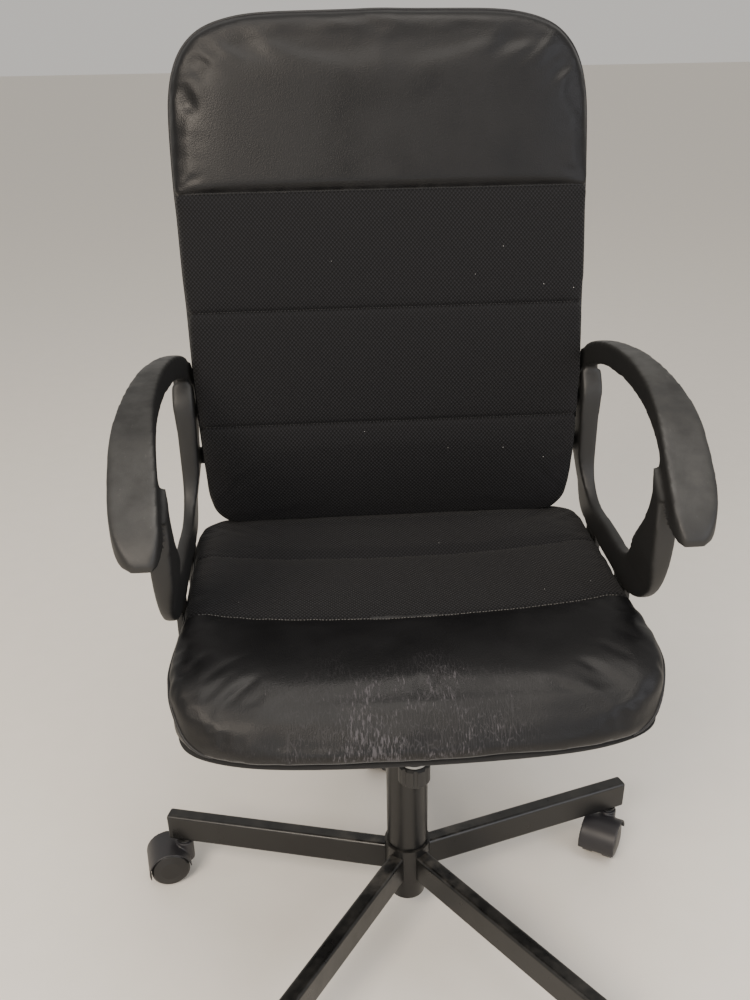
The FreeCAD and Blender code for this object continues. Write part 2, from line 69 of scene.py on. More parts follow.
# ---------------------------------------------------------------- settings
class ChairUpholstery(bpy.types.PropertyGroup):
    leather_colour: bpy.props.StringProperty(
        name="Coated fabric", description="Colour of the grained panels, as sRGB hex", default="#101012"
    )
    mesh_colour: bpy.props.StringProperty(
        name="Spacer mesh", description="Colour of the knitted panels, as sRGB hex", default="#1a1a1d"
    )
    channel_puff: bpy.props.FloatProperty(
        name="Channel puff", description="How far the padding may swell between two seams",
        default=6 * MM, unit="LENGTH",
    )
    seam_depth: bpy.props.FloatProperty(
        name="Seam depth", description="How deep a sewn channel is", default=3.6 * MM, unit="LENGTH"
    )
    piping_radius: bpy.props.FloatProperty(
        name="Piping radius", description="Half the thickness of the sewn edge cord",
        default=2.1 * MM, unit="LENGTH",
    )
    voxel: bpy.props.FloatProperty(
        name="Cloth cell", description="Spacing of the mesh that the padding is simulated on",
        default=5.2 * MM, unit="LENGTH",
    )


class ChairMouldings(bpy.types.PropertyGroup):
    arm_colour: bpy.props.StringProperty(
        name="Armrests", description="Colour of the moulded armrests, as sRGB hex", default="#1e1e1e"
    )
    hood_colour: bpy.props.StringProperty(
        name="Castor hoods", description="Colour of the castor hoods, as sRGB hex", default="#2a292c"
    )
    arm_voxel: bpy.props.FloatProperty(
        name="Armrest cell", description="Spacing of the armrest's surface mesh",
        default=1.8 * MM, unit="LENGTH",
    )


# ---------------------------------------------------------------- small tools
def settings(group):
    return getattr(bpy.context.scene, group)


def linear(hex_colour):
    """sRGB hex to the linear RGBA that shaders take."""
    parts = [int(hex_colour[i : i + 2], 16) / 255 for i in (1, 3, 5)]
    return [c / 12.92 if c <= 0.04045 else ((c + 0.055) / 1.055) ** 2.4 for c in parts] + [1.0]


def smooth_step(low, high, value):
    t = min(1.0, max(0.0, (value - low) / (high - low)))
    return t * t * (3 - 2 * t)


def between(pairs, value):
    """Straight-line reading of a rising table of (place, value) pairs."""
    if value <= pairs[0][0]:
        return pairs[0][1]
    for (a, fa), (b, fb) in zip(pairs, pairs[1:]):
        if value <= b:
            return fa + (fb - fa) * (value - a) / (b - a)
    return pairs[-1][1]


def new_piece(name, bm, body):
    """Turn a bmesh into a finished object that rides on a body."""
    mesh = bpy.data.meshes.new(name)
    bm.to_mesh(mesh)
    bm.free()
    return piece_from_mesh(name, mesh, body)


def piece_from_mesh(name, mesh, body):
    piece = bpy.data.objects.new(name, mesh)
    mesh.name = name
    bpy.context.scene.collection.objects.link(piece)
    mesh.shade_smooth()
    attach(piece, body)
    return piece


def evaluated_mesh(piece):
    graph = bpy.context.evaluated_depsgraph_get()
    graph.update()
    return bpy.data.meshes.new_from_object(piece.evaluated_get(graph))


def with_modifier(bm, kind, **values):
    """Run one modifier over a bmesh and give the result as a new bmesh."""
    mesh = bpy.data.meshes.new("work")
    bm.to_mesh(mesh)
    bm.free()
    work = bpy.data.objects.new("work", mesh)
    bpy.context.scene.collection.objects.link(work)
    modifier = work.modifiers.new(kind.title(), kind)
    for key, value in values.items():
        setattr(modifier, key, value)
    result = evaluated_mesh(work)
    bpy.data.objects.remove(work)
    out = bmesh.new()
    out.from_mesh(result)
    return out


def relax(bm, verts, rounds):
    """Average the points with their neighbours, which rounds the edges off."""
    for _ in range(rounds):
        bmesh.ops.smooth_vert(
            bm, verts=verts, factor=0.5, use_axis_x=True, use_axis_y=True, use_axis_z=True
        )


def tube(name, points, radius, body, cyclic=False):
    """Smooth round cord through the points."""
    curve = bpy.data.curves.new(name, "CURVE")
    curve.dimensions = "3D"
    curve.bevel_depth = radius
    curve.bevel_resolution = 3
    curve.use_fill_caps = True
    spline = curve.splines.new("POLY")
    spline.points.add(len(points) - 1)
    for target, point in zip(spline.points, points):
        target.co = (*point, 1.0)
    spline.use_cyclic_u = cyclic
    holder = bpy.data.objects.new(name, curve)
    bpy.context.scene.collection.objects.link(holder)
    mesh = evaluated_mesh(holder)
    bpy.data.objects.remove(holder)
    return piece_from_mesh(name, mesh, body)


def shift_points(mesh, move):
    """Move every vertex to move(co, normal)."""
    places = [move(vert.co.copy(), vert.normal.copy()) for vert in mesh.vertices]
    for vert, place in zip(mesh.vertices, places):
        vert.co = place
    mesh.update()


def swell(piece, held, pressure, cap, frames=20):
    """Blow the padding up with a cloth simulation.

    held(co) is 1 where a seam or board holds the cloth, and cap(co) is the most that a point may move.
    """
    rest = [v.co.copy() for v in piece.data.vertices]
    weights = [held(co) for co in rest]
    group = piece.vertex_groups.new(name="held")
    for index, weight in enumerate(weights):
        group.add([index], weight, "REPLACE")
    cloth = piece.modifiers.new("Cloth", "CLOTH")
    cloth.settings.quality = 5
    cloth.settings.mass = 0.3
    cloth.settings.tension_stiffness = 12
    cloth.settings.compression_stiffness = 12
    cloth.settings.shear_stiffness = 6
    cloth.settings.bending_stiffness = 0.6
    cloth.settings.vertex_group_mass = "held"
    cloth.settings.use_pressure = True
    cloth.settings.uniform_pressure_force = pressure
    cloth.settings.effector_weights.gravity = 0
    cloth.collision_settings.use_collision = False
    cloth.point_cache.frame_start = 1
    cloth.point_cache.frame_end = frames
    scene = bpy.context.scene
    for number in range(1, frames + 1):
        scene.frame_set(number)
    swollen = evaluated_mesh(piece)
    moved = [v.co.copy() for v in swollen.vertices]
    piece.modifiers.remove(cloth)
    piece.vertex_groups.remove(group)
    scene.frame_set(1)
    for vert, start, end, weight in zip(piece.data.vertices, rest, moved, weights):
        step = (end - start) * (1 - weight)
        most = cap(start)
        if step.length > most:
            step *= most / step.length
        vert.co = start + step
    piece.data.update()
    bpy.data.meshes.remove(swollen)


def refine(piece):
    """One level of subdivision, applied."""
    modifier = piece.modifiers.new("Subdivision", "SUBSURF")
    modifier.levels = 1
    modifier.render_levels = 1
    mesh = evaluated_mesh(piece)
    piece.modifiers.remove(modifier)
    piece.data = mesh
    mesh.name = piece.name
    mesh.shade_smooth()


# ---------------------------------------------------------------- where the surfaces are
def tree_of(node, move=lambda co: co):
    """Ray-casting tree of a CAD node, with its points moved first."""
    mesh = NODES[node].data
    return BVHTree.FromPolygons([move(v.co) for v in mesh.vertices], [p.vertices for p in mesh.polygons])


def front_line():
    """Table of (height, y) down the middle of the back's front face."""
    tree = tree_of("back_cushion")
    table = []
    steps = 60
    for i in range(steps + 1):
        z = BACK_LOW.z + 0.002 + (BACK_HEIGHT - 0.004) * i / steps
        place = tree.ray_cast(Vector((0, -1, z)), Vector((0, 1, 0)))[0]
        table.append((z, place.y))
    return table


BACK_FACE = front_line()


def straightened(co):
    """The back with its curve taken out: y becomes the depth behind the front face."""
    return Vector((co.x, co.y - between(BACK_FACE, co.z), co.z))


def curved(co):
    return Vector((co.x, co.y + between(BACK_FACE, co.z), co.z))


def outline_of(tree, centre, across, up, count=480):
    """Ordered outline round a centre, found by rays towards it in one plane."""
    points = []
    for i in range(count):
        turn = 2 * math.pi * i / count
        way = (across * math.sin(turn) + up * math.cos(turn)).normalized()
        place = tree.ray_cast(centre + way, -way)[0]
        points.append(place)
    return points


def evenly(points, gap):
    """The closed outline again, with its points evenly spaced."""
    spread = []
    carried = 0.0
    for a, b in zip(points, points[1:] + points[:1]):
        length = (b - a).length
        while carried < length:
            spread.append(a.lerp(b, carried / length))
            carried += gap
        carried -= length
    return spread


def outward(points, axis):
    """Outward normals of a closed outline that lies across the axis."""
    count = len(points)
    middle = sum(points, Vector()) / count
    normals = []
    for i, point in enumerate(points):
        along = points[(i + 3) % count] - points[i - 3]
        normal = along.cross(axis).normalized()
        normals.append(normal if normal.dot(point - middle) > 0 else -normal)
    return normals


def edge_distance(points, flatten):
    """How far a place is from an outline, both seen in the outline's own plane."""
    finder = kdtree.KDTree(len(points))
    for index, point in enumerate(points):
        finder.insert(flatten(point), index)
    finder.balance()
    return lambda co: finder.find(flatten(co))[2]


AXIS_X = Vector((1, 0, 0))
AXIS_Y = Vector((0, 1, 0))
AXIS_Z = Vector((0, 0, 1))

# the back's outline with its curve taken out, in the plane half way through the foam
BACK_MIDDLE = Vector((0, 0.019, (BACK_LOW.z + BACK_HIGH.z) / 2))
BACK_OUTLINE = evenly(
    outline_of(tree_of("back_cushion", straightened), BACK_MIDDLE, AXIS_X, AXIS_Z), 5 * MM
)
from_back_edge = edge_distance(BACK_OUTLINE, lambda co: Vector((co.x, 0, co.z)))

# the seat's outline, in a level plane above its board
SEAT_MIDDLE = Vector((0, 0.01, 0.412))
SEAT_OUTLINE = evenly(outline_of(tree_of("seat_cushion"), SEAT_MIDDLE, AXIS_X, AXIS_Y), 5 * MM)
from_seat_edge = edge_distance(SEAT_OUTLINE, lambda co: Vector((co.x, co.y, 0)))

# seams, where the panels are sewn together or through
CHANNEL_SEAMS = (0.597, 0.729)
HEADREST_SEAM = 0.859
BACK_SEAMS = (*CHANNEL_SEAMS, HEADREST_SEAM)
SEAT_CHANNEL = 0.104
SEAT_FRONT_SEAM = -0.032
SEAT_SEAMS = (SEAT_FRONT_SEAM, SEAT_CHANNEL)
BACK_CORD_DEPTH = 0.024
SIDE_SEAM_DROP = 0.017
SEAT_DISH = 0.017


def seat_top_line():
    tree = tree_of("seat_cushion")
    table = []
    steps = 44
    for i in range(steps + 1):
        y = SEAT_LOW.y + 0.002 + (SEAT_HIGH.y - SEAT_LOW.y - 0.004) * i / steps
        place = tree.ray_cast(Vector((0.02, y, 1)), Vector((0, 0, -1)))[0]
        table.append((y, place.z))
    return table


SEAT_TOP = seat_top_line()


def side_seam_height(y):
    """Height of the cord along the seat's side: under the edge, then down round the front corner."""
    return between(SEAT_TOP, max(y, -0.15)) - SIDE_SEAM_DROP - 0.045 * smooth_step(-0.13, -0.195, y)


def panel_crown(place, seams, low, high):
    """0 on the seams and 1 half way between them, rising quickly as stuffed cloth does."""
    stops = sorted((low, *seams, high))
    for a, b in zip(stops, stops[1:]):
        if a <= place <= b:
            t = (place - a) / (b - a)
            return (4 * t * (1 - t)) ** 0.42
    return 0.0


def seam_profile(off, crease, share):
    """Depth of a sewn seam: a narrow crease in a wider, shallower valley."""
    return math.exp(-((off / crease) ** 2)) + share * math.exp(-((off / (9 * MM)) ** 2))


def near_seam(place, seams, width):
    return max(1 - smooth_step(width * 0.35, width, abs(place - seam)) for seam in seams)


def padding(node, cell, rounds):
    """Copy of a foam block as an even mesh with rounded edges, ready to be swollen."""
    bm = bmesh.new()
    bm.from_mesh(NODES[node].data)
    bmesh.ops.remove_doubles(bm, verts=bm.verts, dist=0.01 * MM)
    bm = with_modifier(bm, "REMESH", mode="VOXEL", voxel_size=cell, adaptivity=0.0)
    relax(bm, bm.verts, rounds)
    return bm


def cut_across(mesh, planes):
    """Add edge loops where planes of (point, normal) cross the mesh."""
    bm = bmesh.new()
    bm.from_mesh(mesh)
    for point, normal in planes:
        geom = bm.verts[:] + bm.edges[:] + bm.faces[:]
        bmesh.ops.bisect_plane(bm, geom=geom, dist=0.05 * MM, plane_co=point, plane_no=normal)
    bm.to_mesh(mesh)
    bm.free()


def paint_faces(mesh, materials, choose):
    """Give each face the material that choose(centre, normal) names by number."""
    mesh.materials.clear()
    for material in materials:
        mesh.materials.append(material)
    for face in mesh.polygons:
        face.material_index = choose(face.center, face.normal)


def surface_tree(mesh, move=lambda co: co):
    return BVHTree.FromPolygons([move(v.co) for v in mesh.vertices], [p.vertices for p in mesh.polygons])


def stitches(name, points, lifts, length, radius, pitch, body, material):
    """Row of thread stitches along a line of surface points."""
    bm = bmesh.new()
    travelled = 0.0
    for (a, b), lift in zip(zip(points, points[1:]), lifts):
        travelled += (b - a).length
        if travelled < pitch:
            continue
        travelled -= pitch
        along = (b - a).normalized()
        side = along.cross(lift).normalized()
        up = side.cross(along)
        turn = Matrix((along, side, up)).transposed().to_4x4()
        shape = Matrix.Diagonal((length / 2, radius, radius, 1))
        place = Matrix.Translation(b + lift * radius * 0.35) @ turn @ shape
        bmesh.ops.create_uvsphere(bm, u_segments=6, v_segments=4, radius=1.0, matrix=place)
    piece = new_piece(name, bm, body)
    piece.data.materials.append(material)
    return piece


# ---------------------------------------------------------------- materials
def add(tree, kind, inputs=None, **values):
    """Add a shader node with its settings, its socket values and its incoming links."""
    node = tree.nodes.new("ShaderNode" + kind)
    for key, value in values.items():
        setattr(node, key, value)
    for socket, value in (inputs or {}).items():
        if isinstance(value, bpy.types.NodeSocket):
            tree.links.new(value, node.inputs[socket])
        else:
            node.inputs[socket].default_value = value
    return node


def per_metre(millimetres):
    """Texture scale that repeats once in so many millimetres."""
    return 1000.0 / millimetres


def start_material(name, roughness, metallic=0.0, ior=None, **sockets):
    material = bpy.data.materials.new(name)
    material.use_nodes = True
    tree = material.node_tree
    shader = tree.nodes["Principled BSDF"]
    shader.inputs["Roughness"].default_value = roughness
    shader.inputs["Metallic"].default_value = metallic
    if ior:
        shader.inputs["IOR"].default_value = ior
    for key, value in sockets.items():
        shader.inputs[key.replace("_", " ")].default_value = value
    coords = add(tree, "TexCoord").outputs["Object"]
    return material, tree, shader, coords


def two_tone(tree, shader, factor, low, high):
    """Colour that wanders between two close shades."""
    mix = add(tree, "Mix", {"Factor": factor, "A": linear(low), "B": linear(high)}, data_type="RGBA")
    tree.links.new(mix.outputs["Result"], shader.inputs["Base Color"])
    return mix.outputs["Result"]


def set_bump(tree, shader, height, strength, distance):
    bump = add(tree, "Bump", {"Height": height, "Strength": strength, "Distance": distance})
    tree.links.new(bump.outputs["Normal"], shader.inputs["Normal"])
    return bump


def speck_mask(tree, coords, spacing, size, share):
    """Small scattered specks: spacing and size in millimetres, share of the cells that hold one."""
    cells = add(tree, "TexVoronoi", {"Vector": coords, "Scale": per_metre(spacing)})
    near = add(tree, "Math", {0: cells.outputs["Distance"], 1: size / spacing}, operation="LESS_THAN")
    pick = add(tree, "SeparateColor", {"Color": cells.outputs["Color"]})
    kept = add(tree, "Math", {0: pick.outputs["Red"], 1: share}, operation="LESS_THAN")
    both = add(tree, "Math", {0: near.outputs[0], 1: kept.outputs[0]}, operation="MULTIPLY")
    return both.outputs[0]


def spacer_mesh_knit(name, colour, tilt):
    """Warp-knitted polyester spacer mesh: open diamond cells in staggered rows, dull, with a faint sheen.

    The real cells are about 2.8 mm apart; they are drawn 3.4 mm apart so that they show.
    """
    material, tree, shader, coords = start_material(
        name, 0.8, ior=1.45, Sheen_Weight=0.04, Sheen_Roughness=0.5, Specular_IOR_Level=0.25
    )
    turned = add(tree, "Mapping", {"Vector": coords, "Rotation": (tilt, 0, 0)})
    wander = add(tree, "TexNoise", {"Vector": turned.outputs[0], "Scale": per_metre(60), "Detail": 1.0})
    nudge = add(tree, "VectorMath", {0: wander.outputs["Color"], 1: (0.5, 0.5, 0.5)}, operation="SUBTRACT")
    small = add(tree, "VectorMath", {0: nudge.outputs[0], "Scale": 2.0 * MM}, operation="SCALE")
    moved = add(tree, "VectorMath", {0: turned.outputs[0], 1: small.outputs[0]}, operation="ADD")
    split = add(tree, "SeparateXYZ", {"Vector": moved.outputs[0]})
    waves = []
    for axis, period in (("X", 4.6), ("Y", 4.9)):
        phase = add(
            tree, "Math", {0: split.outputs[axis], 1: 2 * math.pi * per_metre(period)}, operation="MULTIPLY"
        )
        waves.append(add(tree, "Math", {0: phase.outputs[0]}, operation="COSINE").outputs[0])
    cells = add(tree, "Math", {0: waves[0], 1: waves[1]}, operation="MULTIPLY")
    cell = add(tree, "MapRange", {"Value": cells.outputs[0], "From Min": -0.55, "From Max": 0.75})
    thread = add(tree, "TexNoise", {"Vector": coords, "Scale": per_metre(0.9), "Detail": 2.0})
    height = add(
        tree, "Math", {0: thread.outputs["Fac"], 1: 0.25, 2: cell.outputs[0]}, operation="MULTIPLY_ADD"
    )
    # the cell pattern also sets the colour: the hollows get near-black #030304 as painted shade, and the ridges
    # keep the mesh colour
    tone = two_tone(tree, shader, cell.outputs[0], "#030304", colour)
    lint = speck_mask(tree, coords, 17, 0.5, 0.22)
    final = add(tree, "Mix", {"Factor": lint, "A": tone, "B": linear("#9b9a98")}, data_type="RGBA")
    tree.links.new(final.outputs["Result"], shader.inputs["Base Color"])
    set_bump(tree, shader, height.outputs[0], 0.85, 0.9 * MM)
    return material


def coated_fabric(name, colour, worn=False, grain=1.3):
    """Polyurethane-coated fabric, embossed with a pebble grain: soft broken gloss, duller in the creases.

    Worn, the coating has fine cracks that run front to back and flakes off in grey chips at the front edge.
    """
    material, tree, shader, coords = start_material(name, 0.42, ior=1.5, Specular_IOR_Level=0.3)
    pebble = add(tree, "TexVoronoi", {"Vector": coords, "Scale": per_metre(grain)}, feature="SMOOTH_F1")
    fine = add(tree, "TexNoise", {"Vector": coords, "Scale": per_metre(0.7), "Detail": 2.0})
    broad = add(tree, "TexNoise", {"Vector": coords, "Scale": per_metre(70), "Detail": 3.0})
    height = add(
        tree, "Math", {0: fine.outputs["Fac"], 1: 0.35, 2: pebble.outputs["Distance"]}, operation="MULTIPLY_ADD"
    )
    rough = add(
        tree, "MapRange",
        {"Value": broad.outputs["Fac"], "From Min": 0.3, "From Max": 0.7, "To Min": 0.36, "To Max": 0.52},
    )
    tone = two_tone(tree, shader, broad.outputs["Fac"], "#070708", colour)
    bump_height = height.outputs[0]
    roughness = rough.outputs[0]
    if worn:
        # cracks are stretched front to back; chips gather round the front edge, off the middle
        long_way = add(tree, "Mapping", {"Vector": coords, "Scale": (1.0, 0.16, 0.2)})
        crack = add(
            tree, "TexVoronoi", {"Vector": long_way.outputs[0], "Scale": per_metre(2.6)},
            feature="DISTANCE_TO_EDGE",
        )
        line = add(
            tree, "MapRange",
            {"Value": crack.outputs["Distance"], "From Max": 0.075, "To Min": 1.0, "To Max": 0.0},
        )
        chips = add(
            tree, "TexNoise",
            {"Vector": long_way.outputs[0], "Scale": per_metre(1.9), "Detail": 5.0, "Roughness": 0.65},
        )
        patch = add(tree, "TexNoise", {"Vector": coords, "Scale": per_metre(45), "Detail": 3.0})
        centre = add(
            tree, "Mapping", {"Vector": coords, "Location": (0.12, 1.75, 0.0), "Scale": (5.2, 8.8, 0.0)}
        )
        away = add(tree, "VectorMath", {0: centre.outputs[0]}, operation="LENGTH")
        zone = add(
            tree, "MapRange",
            {"Value": away.outputs["Value"], "From Min": 0.3, "From Max": 1.1, "To Min": 0.16, "To Max": -0.12},
        )
        gathered = add(
            tree, "Math", {0: patch.outputs["Fac"], 1: 0.45, 2: zone.outputs[0]}, operation="MULTIPLY_ADD"
        )
        loose = add(tree, "Math", {0: chips.outputs["Fac"], 1: gathered.outputs[0]}, operation="ADD")
        chip = add(tree, "MapRange", {"Value": loose.outputs[0], "From Min": 0.94, "From Max": 1.0})
        crack_zone = add(
            tree, "MapRange", {"Value": gathered.outputs[0], "From Min": 0.2, "From Max": 0.42, "To Max": 0.45}
        )
        cracked = add(tree, "Math", {0: line.outputs[0], 1: crack_zone.outputs[0]}, operation="MULTIPLY")
        bare = add(tree, "Math", {0: cracked.outputs[0], 1: chip.outputs[0]}, operation="MAXIMUM")
        scuffed = add(
            tree, "Mix", {"Factor": bare.outputs[0], "A": tone, "B": linear("#454346")}, data_type="RGBA"
        )
        tree.links.new(scuffed.outputs["Result"], shader.inputs["Base Color"])
        deep = add(tree, "Math", {0: bare.outputs[0], 1: -0.8, 2: bump_height}, operation="MULTIPLY_ADD")
        bump_height = deep.outputs[0]
        dulled = add(tree, "Math", {0: bare.outputs[0], 1: 0.35, 2: roughness}, operation="MULTIPLY_ADD")
        roughness = dulled.outputs[0]
    tree.links.new(roughness, shader.inputs["Roughness"])
    set_bump(tree, shader, bump_height, 0.4, 0.5 * MM)
    return material


def plain_weave(name, low, high, thread):
    """Plain-woven polypropylene or polyester lining: a flat, dull cloth with a visible square weave."""
    material, tree, shader, coords = start_material(name, 0.85, ior=1.5, Sheen_Weight=0.2)
    split = add(tree, "SeparateXYZ", {"Vector": coords})
    level = add(tree, "Math", {0: split.outputs["Y"], 1: split.outputs["Z"]}, operation="ADD")
    waves = []
    for source in (split.outputs["X"], level.outputs[0]):
        phase = add(tree, "Math", {0: source, 1: math.pi * per_metre(thread)}, operation="MULTIPLY")
        waves.append(add(tree, "Math", {0: phase.outputs[0]}, operation="SINE").outputs[0])
    weave = add(tree, "Math", {0: waves[0], 1: waves[1]}, operation="MULTIPLY")
    fibre = add(tree, "TexNoise", {"Vector": coords, "Scale": per_metre(1.2), "Detail": 3.0})
    height = add(tree, "Math", {0: fibre.outputs["Fac"], 1: 0.4, 2: weave.outputs[0]}, operation="MULTIPLY_ADD")
    two_tone(tree, shader, fibre.outputs["Fac"], low, high)
    set_bump(tree, shader, height.outputs[0], 0.35, 0.4 * MM)
    return material


def even_finish(name, low, high, rough, grain, bump, metallic=0.0, ior=None, stretch=(1, 1, 1)):
    """A hard surface whose colour, gloss and skin vary a little. Sizes are in millimetres."""
    material, tree, shader, coords = start_material(name, rough[0], metallic, ior)
    laid = add(tree, "Mapping", {"Vector": coords, "Scale": stretch})
    skin = add(tree, "TexNoise", {"Vector": laid.outputs[0], "Scale": per_metre(grain), "Detail": 3.0})
    cloud = add(tree, "TexNoise", {"Vector": coords, "Scale": per_metre(40), "Detail": 4.0})
    gloss = add(
        tree, "MapRange",
        {
            "Value": cloud.outputs["Fac"], "From Min": 0.3, "From Max": 0.7,
            "To Min": rough[0], "To Max": rough[1],
        },
    )
    tree.links.new(gloss.outputs[0], shader.inputs["Roughness"])
    two_tone(tree, shader, cloud.outputs["Fac"], low, high)
    set_bump(tree, shader, skin.outputs["Fac"], bump, 0.3 * MM)
    return material


def powder_coat(name, colour):
    """Polyester powder coat on steel tube: near black, satin gloss over a fine orange peel, with dust on top.

    Dust lies on faces that look up, thickest round the hub.
    """
    material, tree, shader, coords = start_material(name, 0.3, ior=1.5)
    peel = add(tree, "TexNoise", {"Vector": coords, "Scale": per_metre(1.6), "Detail": 2.0})
    cloud = add(tree, "TexNoise", {"Vector": coords, "Scale": per_metre(28), "Detail": 5.0, "Roughness": 0.65})
    gloss = add(
        tree, "MapRange",
        {"Value": cloud.outputs["Fac"], "From Min": 0.3, "From Max": 0.75, "To Min": 0.25, "To Max": 0.42},
    )
    tree.links.new(gloss.outputs[0], shader.inputs["Roughness"])
    tone = two_tone(tree, shader, cloud.outputs["Fac"], "#090909", colour)
    flat = add(tree, "VectorMath", {0: coords, 1: (1, 1, 0)}, operation="MULTIPLY")
    reach = add(tree, "VectorMath", {0: flat.outputs[0]}, operation="LENGTH")
    close = add(
        tree, "MapRange",
        {"Value": reach.outputs["Value"], "From Min": 0.03, "From Max": 0.13, "To Min": 0.42, "To Max": 0.1},
    )
    facing = add(tree, "SeparateXYZ", {"Vector": add(tree, "NewGeometry").outputs["Normal"]})
    upward = add(tree, "MapRange", {"Value": facing.outputs["Z"], "From Min": 0.1, "From Max": 0.9})
    dust = add(tree, "MapRange", {"Value": cloud.outputs["Fac"], "From Min": 0.42, "From Max": 0.72})
    lying = add(tree, "Math", {0: dust.outputs[0], 1: upward.outputs[0]}, operation="MULTIPLY")
    amount = add(tree, "Math", {0: lying.outputs[0], 1: close.outputs[0]}, operation="MULTIPLY")
    final = add(
        tree, "Mix", {"Factor": amount.outputs[0], "A": tone, "B": linear("#77736c")}, data_type="RGBA"
    )
    tree.links.new(final.outputs["Result"], shader.inputs["Base Color"])
    set_bump(tree, shader, peel.outputs["Fac"], 0.12, 0.25 * MM)
    return material


def moulded_arm(name, colour):
    """Injection-moulded polypropylene with a spark-eroded skin: dark grey, matt, worn smooth on the pad.

    Where the pad faces up it is painted paler, a painted highlight of the light from above, and worn glossier,
    with a few short scuffs.
    """
    material, tree, shader, coords = start_material(name, 0.55, ior=1.49)
    skin = add(tree, "TexNoise", {"Vector": coords, "Scale": per_metre(1.1), "Detail": 3.0})
    cloud = add(tree, "TexNoise", {"Vector": coords, "Scale": per_metre(35), "Detail": 5.0, "Roughness": 0.6})
    split = add(tree, "SeparateXYZ", {"Vector": coords})
    facing = add(tree, "SeparateXYZ", {"Vector": add(tree, "NewGeometry").outputs["Normal"]})
    high = add(tree, "MapRange", {"Value": split.outputs["Z"], "From Min": 0.585, "From Max": 0.63})
    upward = add(tree, "MapRange", {"Value": facing.outputs["Z"], "From Min": 0.2, "From Max": 0.85})
    pad = add(tree, "Math", {0: high.outputs[0], 1: upward.outputs[0]}, operation="MULTIPLY")
    pad_top_patches = add(tree, "MapRange", {"Value": cloud.outputs["Fac"], "From Min": 0.35, "From Max": 0.65})
    lit_and_worn_pad_top = add(tree, "Math", {0: pad.outputs[0], 1: pad_top_patches.outputs[0]}, operation="MULTIPLY")
    tone = two_tone(tree, shader, cloud.outputs["Fac"], "#141414", colour)
    # the pad's upward faces are painted paler (#2b2b2a) in patches, a painted highlight of the light from above;
    # the same mask makes them glossier where worn
    shade = add(tree, "Mix", {"Factor": lit_and_worn_pad_top.outputs[0], "A": tone, "B": linear("#2b2b2a")}, data_type="RGBA")
    scuff_way = add(tree, "Mapping", {"Vector": coords, "Rotation": (0, 0, 0.5), "Scale": (1.0, 0.35, 1.0)})
    scuff = add(
        tree, "TexNoise",
        {"Vector": scuff_way.outputs[0], "Scale": per_metre(7), "Detail": 6.0, "Roughness": 0.7},
    )
    mark = add(
        tree, "MapRange",
        {"Value": scuff.outputs["Fac"], "From Min": 0.64, "From Max": 0.72, "To Max": 0.5},
    )
    marked = add(tree, "Math", {0: mark.outputs[0], 1: pad.outputs[0]}, operation="MULTIPLY")
    final = add(
        tree, "Mix", {"Factor": marked.outputs[0], "A": shade.outputs["Result"], "B": linear("#504f4d")},
        data_type="RGBA",
    )
    tree.links.new(final.outputs["Result"], shader.inputs["Base Color"])
    gloss = add(tree, "MapRange", {"Value": lit_and_worn_pad_top.outputs[0], "To Min": 0.55, "To Max": 0.4})
    tree.links.new(gloss.outputs[0], shader.inputs["Roughness"])
    set_bump(tree, shader, skin.outputs["Fac"], 0.3, 0.3 * MM)
    return material


def plywood(name):
    """Rotary-cut birch plywood: pale tan with fine dark streaks along the grain."""
    material, tree, shader, coords = start_material(name, 0.62, ior=1.5)
    along = add(tree, "Mapping", {"Vector": coords, "Scale": (0.06, 1.0, 1.0)})
    grain = add(tree, "TexNoise", {"Vector": along.outputs[0], "Scale": per_metre(2.5), "Detail": 6.0})
    two_tone(tree, shader, grain.outputs["Fac"], "#8d6a45", "#c9a878")
    set_bump(tree, shader, grain.outputs["Fac"], 0.2, 0.3 * MM)
    return material


MATERIALS = {}


def make_materials():
    soft = settings("chair_upholstery")
    hard = settings("chair_mouldings")
    MATERIALS.update(
        back_mesh=spacer_mesh_knit("Spacer mesh on the back", soft.mesh_colour, math.radians(90)),
        seat_mesh=spacer_mesh_knit("Spacer mesh on the seat", soft.mesh_colour, 0.0),
        leather=coated_fabric("Coated fabric", soft.leather_colour),
        worn_leather=coated_fabric("Worn coated fabric", soft.leather_colour, worn=True, grain=1.1),
        cord=coated_fabric("Edge cord fabric", "#2e2e30", grain=0.8),
        lining=plain_weave("Lining cloth", "#0c0c0c", "#1a1a1b", 0.9),
        thread=even_finish("Polyester thread", "#4c4b4a", "#6b6a68", (0.6, 0.75), 0.6, 0.3),
        dark_thread=even_finish("Dark polyester thread", "#1a1a1b", "#2c2c2d", (0.6, 0.75), 0.6, 0.3),
        arm=moulded_arm("Moulded armrest plastic", hard.arm_colour),
        steel=powder_coat("Powder-coated steel", "#131313"),
        # nylon mouldings: satin, with a faint flow pattern
        hood=even_finish("Hood nylon", "#1e1d20", hard.hood_colour, (0.4, 0.52), 0.9, 0.2, ior=1.53),
        wheel=even_finish("Wheel nylon", "#0b0b0c", "#1c1b1c", (0.35, 0.55), 0.9, 0.15, ior=1.53),
        black_nylon=even_finish("Black nylon", "#0e0e0e", "#1b1b1b", (0.42, 0.55), 0.9, 0.2, ior=1.53),
        # passivated zinc plate: pale, slightly blue, patchy gloss
        zinc=even_finish("Zinc-plated steel", "#8e9092", "#a9abac", (0.3, 0.45), 1.2, 0.12, metallic=1.0),
        # the ground rod keeps fine lines round the bar; the spring wire's finish is plain
        ground=even_finish(
            "Ground steel rod", "#a5a6a8", "#bcbdbe", (0.12, 0.22), 0.4, 0.06, metallic=1.0, stretch=(1, 1, 6)
        ),
        spring=even_finish("Spring steel", "#3a3836", "#54514d", (0.32, 0.45), 0.8, 0.15, metallic=1.0),
        wood=plywood("Birch plywood"),
    )


